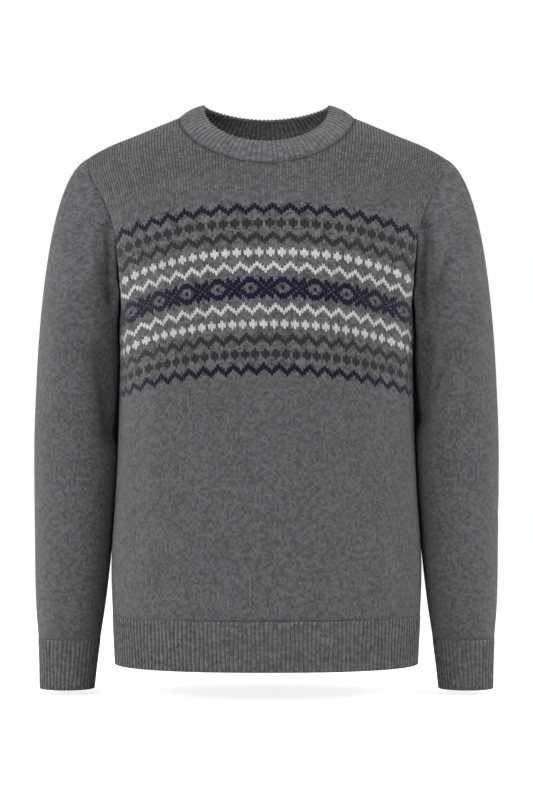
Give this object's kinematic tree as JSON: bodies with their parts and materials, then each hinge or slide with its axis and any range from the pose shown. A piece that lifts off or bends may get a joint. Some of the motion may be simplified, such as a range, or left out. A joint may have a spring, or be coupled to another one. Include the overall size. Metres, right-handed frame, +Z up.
{
  "type": "fair isle sweater",
  "caption": "Crew-neck knitted sweater with set-in long sleeves, ribbed neckband, cuffs and hem, and a fair isle band across the chest, hollow and filled out as worn.",
  "frame": {"origin": "the middle of the neck, level with the points where the neckband meets the shoulders", "axes": "+Z up, +X to the wearer's left, front facing -Y"},
  "size_m": [0.5662, 0.2352, 0.7093],
  "materials": {
    "jersey": "grey marl plain knit, matt",
    "patterned": "grey marl plain knit with a navy, charcoal and white fair isle band, matt",
    "rib": "grey marl one by one rib, matt",
    "neck_rib": "grey marl one by one rib, doubled, matt",
    "label": "plain woven navy tape, satin"
  },
  "bodies": {
    "root": {"front": "patterned", "back": "jersey", "sleeve_left": "jersey", "sleeve_right": "jersey", "cuff_left": "rib", "cuff_right": "rib", "hem_rib_front": "rib", "hem_rib_back": "rib", "neckband": "neck_rib", "neck_label": "label"}
  },
  "joints": []
}
